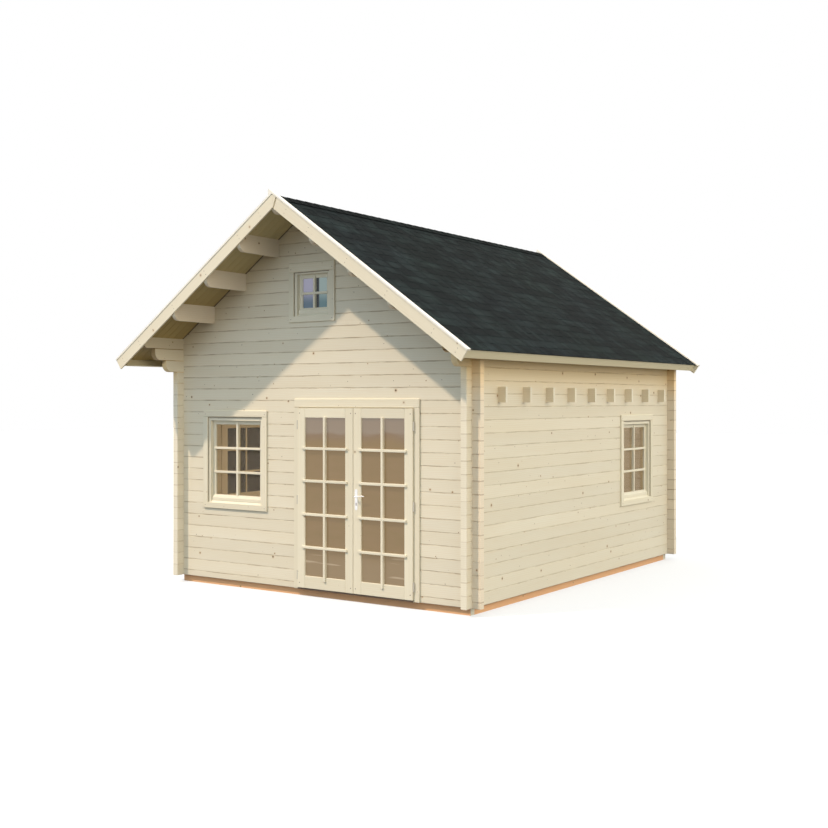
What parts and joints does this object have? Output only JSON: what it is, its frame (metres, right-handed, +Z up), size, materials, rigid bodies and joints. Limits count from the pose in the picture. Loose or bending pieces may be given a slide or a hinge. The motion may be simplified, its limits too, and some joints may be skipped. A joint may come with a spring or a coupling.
{
  "type": "wooden log cabin",
  "caption": "Gabled log cabin with crossed log corners, an overhanging shingled roof, barred windows and a glazed double door that opens outwards.",
  "frame": {"origin": "On the floor, under the middle of the roof's outline.", "axes": "X runs across the front, +Y from the front door to the rear wall, which is the longest extent, and +Z is up, the shortest extent."},
  "size_m": [4.8756, 5.997, 4.4127],
  "materials": {
    "base_timber": "rough sawn, brown treated",
    "floor_boards": "planed spruce boards",
    "logs": "planed spruce logs with V joints",
    "loft_timber": "planed spruce",
    "roof_timber": "planed spruce",
    "shingles": "mineral-coated bitumen shingles",
    "trim_boards": "planed spruce boards",
    "joinery": "planed spruce joinery",
    "threshold": "dark hardwood plate",
    "glass": "clear window glass",
    "steel": "satin"
  },
  "bodies": {
    "cabin": {"base_front": "base_timber", "base_rear": "base_timber", "base_left": "base_timber", "base_right": "base_timber", "floor_bearers": "base_timber", "floor": "floor_boards", "front_wall_left": "logs", "front_wall_right": "logs", "front_gable": "logs", "rear_wall": "logs", "left_wall": "logs", "right_wall": "logs", "loft_joists": "loft_timber", "loft_floor": "loft_timber", "purlins": "roof_timber", "ridge_purlin": "roof_timber", "roof_deck_left": "roof_timber", "roof_deck_right": "roof_timber", "shingles_left": "shingles", "shingles_right": "shingles", "ridge_strip": "shingles", "barge_boards_front": "trim_boards", "barge_boards_rear": "trim_boards", "verge_caps_left": "trim_boards", "verge_caps_right": "trim_boards", "eave_fascias": "trim_boards", "door_jambs": "joinery", "door_head": "joinery", "door_casing_sides": "trim_boards", "door_casing_head": "trim_boards", "door_threshold": "threshold", "hinge_pins_left": "steel", "hinge_pins_right": "steel", "window_casings": "trim_boards", "window_frames": "joinery", "window_sashes": "joinery", "window_glass": "glass"},
    "left_leaf": {"door_leaf_left": "joinery", "door_glass_left": "glass", "hinge_knuckles_left": "steel"},
    "right_leaf": {"door_leaf_right": "joinery", "door_glass_right": "glass", "hinge_knuckles_right": "steel", "lock_plates": "steel"},
    "lever": {"door_lever": "steel"}
  },
  "joints": [
    {"name": "left_leaf_hinge", "type": "hinge", "parent": "cabin", "child": "left_leaf", "pos_m": [-0.1875, -2.3565, 1.1], "axis": [0, 0, -1], "range_deg": [0, 110]},
    {"name": "right_leaf_hinge", "type": "hinge", "parent": "cabin", "child": "right_leaf", "pos_m": [1.3835, -2.3565, 1.1], "axis": [0, 0, 1], "range_deg": [0, 110]},
    {"name": "lever_turn", "type": "hinge", "parent": "right_leaf", "child": "lever", "pos_m": [0.6425, -2.3475, 1.142], "axis": [0, 1, 0], "range_deg": [0, 40], "stiffness_Nm_per_rad": 1.5, "springref_deg": -28.65}
  ]
}
